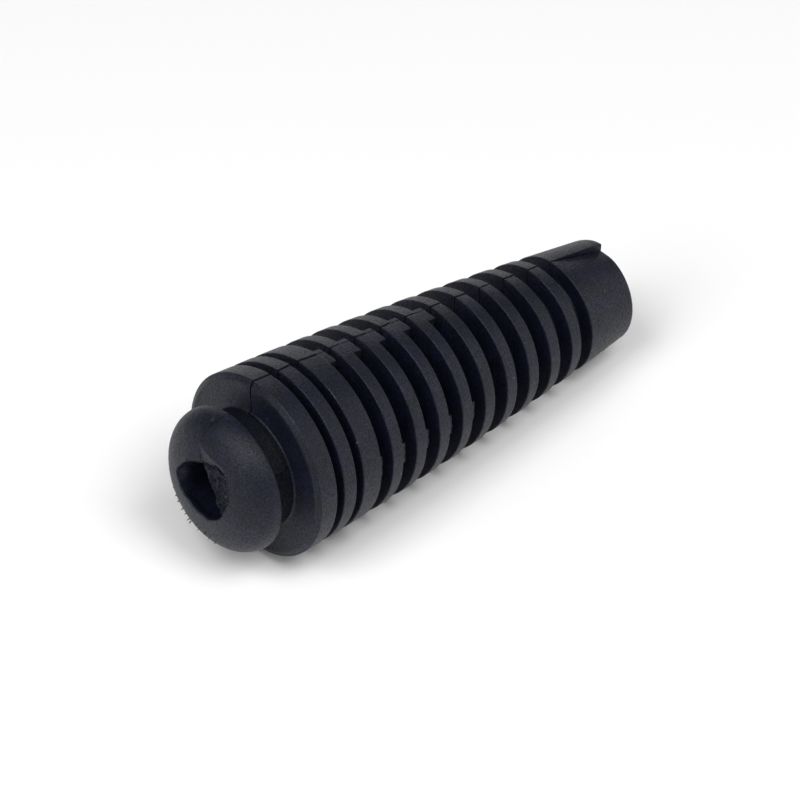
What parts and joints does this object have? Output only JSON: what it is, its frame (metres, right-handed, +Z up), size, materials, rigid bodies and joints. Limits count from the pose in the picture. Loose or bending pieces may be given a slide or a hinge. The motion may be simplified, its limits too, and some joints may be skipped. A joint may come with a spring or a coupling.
{
  "type": "vibration damper sleeve",
  "caption": "Tapered ribbed rubber sleeve with a mushroom snap head, a flange, a plain tail collar and a slit bore that clips over a shaft.",
  "frame": {"origin": "middle of the base of the bounding box, on the surface the sleeve lies on", "axes": "+X from the snap head to the tail along the sleeve as it lies, +Z up; the sleeve's own axis runs 4.4 degrees downhill towards the tail because of its taper, and the slit is at the top, 5 degrees over to +Y"},
  "size_m": [0.0614, 0.022, 0.0222],
  "materials": {
    "black_rubber": "satin moulded, near black"
  },
  "bodies": {
    "head": {"snap_head": "black_rubber", "neck": "black_rubber"},
    "flange": {"flange": "black_rubber"},
    "rib_02": {"rib_02": "black_rubber"},
    "rib_03": {"rib_03": "black_rubber"},
    "rib_04": {"rib_04": "black_rubber"},
    "rib_05": {"rib_05": "black_rubber"},
    "rib_06": {"rib_06": "black_rubber"},
    "rib_07": {"rib_07": "black_rubber"},
    "rib_08": {"rib_08": "black_rubber"},
    "rib_09": {"rib_09": "black_rubber"},
    "rib_10": {"rib_10": "black_rubber"},
    "rib_11": {"rib_11": "black_rubber"},
    "rib_12": {"rib_12": "black_rubber"},
    "tail": {"tail_collar": "black_rubber"}
  },
  "joints": [
    {"name": "neck_flex", "type": "hinge", "parent": "flange", "child": "head", "pos_m": [-0.02347, 0, 0.01128], "axis": [0.0766, 0, 0.9971], "range_deg": [-4, 4], "stiffness_Nm_per_rad": 0.05},
    {"name": "flex_01", "type": "hinge", "parent": "flange", "child": "rib_02", "pos_m": [-0.01957, 0, 0.01098], "axis": [0.0766, 0, 0.9971], "range_deg": [-2, 2], "stiffness_Nm_per_rad": 0.05},
    {"name": "flex_02", "type": "hinge", "parent": "rib_02", "child": "rib_03", "pos_m": [-0.01658, 0, 0.01075], "axis": [0.0766, 0, 0.9971], "range_deg": [-2, 2], "stiffness_Nm_per_rad": 0.05},
    {"name": "flex_03", "type": "hinge", "parent": "rib_03", "child": "rib_04", "pos_m": [-0.01232, 0, 0.01042], "axis": [0.0766, 0, 0.9971], "range_deg": [-4, 4], "stiffness_Nm_per_rad": 0.05},
    {"name": "flex_04", "type": "hinge", "parent": "rib_04", "child": "rib_05", "pos_m": [-0.00868, 0, 0.01014], "axis": [0.0766, 0, 0.9971], "range_deg": [-4, 4], "stiffness_Nm_per_rad": 0.05},
    {"name": "flex_05", "type": "hinge", "parent": "rib_05", "child": "rib_06", "pos_m": [-0.00489, 0, 0.00985], "axis": [0.0766, 0, 0.9971], "range_deg": [-4, 4], "stiffness_Nm_per_rad": 0.05},
    {"name": "flex_06", "type": "hinge", "parent": "rib_06", "child": "rib_07", "pos_m": [-0.0011, 0, 0.00956], "axis": [0.0766, 0, 0.9971], "range_deg": [-4, 4], "stiffness_Nm_per_rad": 0.05},
    {"name": "flex_07", "type": "hinge", "parent": "rib_07", "child": "rib_08", "pos_m": [0.00269, 0, 0.00927], "axis": [0.0766, 0, 0.9971], "range_deg": [-4, 4], "stiffness_Nm_per_rad": 0.05},
    {"name": "flex_08", "type": "hinge", "parent": "rib_08", "child": "rib_09", "pos_m": [0.00648, 0, 0.00898], "axis": [0.0766, 0, 0.9971], "range_deg": [-4, 4], "stiffness_Nm_per_rad": 0.05},
    {"name": "flex_09", "type": "hinge", "parent": "rib_09", "child": "rib_10", "pos_m": [0.01027, 0, 0.00869], "axis": [0.0766, 0, 0.9971], "range_deg": [-4, 4], "stiffness_Nm_per_rad": 0.05},
    {"name": "flex_10", "type": "hinge", "parent": "rib_10", "child": "rib_11", "pos_m": [0.01406, 0, 0.00839], "axis": [0.0766, 0, 0.9971], "range_deg": [-4, 4], "stiffness_Nm_per_rad": 0.05},
    {"name": "flex_11", "type": "hinge", "parent": "rib_11", "child": "rib_12", "pos_m": [0.01784, 0, 0.0081], "axis": [0.0766, 0, 0.9971], "range_deg": [-4, 4], "stiffness_Nm_per_rad": 0.05},
    {"name": "flex_12", "type": "hinge", "parent": "rib_12", "child": "tail", "pos_m": [0.02156, 0, 0.00782], "axis": [0.0766, 0, 0.9971], "range_deg": [-4, 4], "stiffness_Nm_per_rad": 0.05}
  ],
  "couplings": [
    {"joint": "flex_01", "follows": "flex_03", "ratio": 0.5},
    {"joint": "flex_02", "follows": "flex_03", "ratio": 0.5},
    {"joint": "flex_04", "follows": "flex_03", "ratio": 1},
    {"joint": "flex_05", "follows": "flex_03", "ratio": 1},
    {"joint": "flex_06", "follows": "flex_03", "ratio": 1},
    {"joint": "flex_07", "follows": "flex_03", "ratio": 1},
    {"joint": "flex_08", "follows": "flex_03", "ratio": 1},
    {"joint": "flex_09", "follows": "flex_03", "ratio": 1},
    {"joint": "flex_10", "follows": "flex_03", "ratio": 1},
    {"joint": "flex_11", "follows": "flex_03", "ratio": 1},
    {"joint": "flex_12", "follows": "flex_03", "ratio": 1}
  ]
}
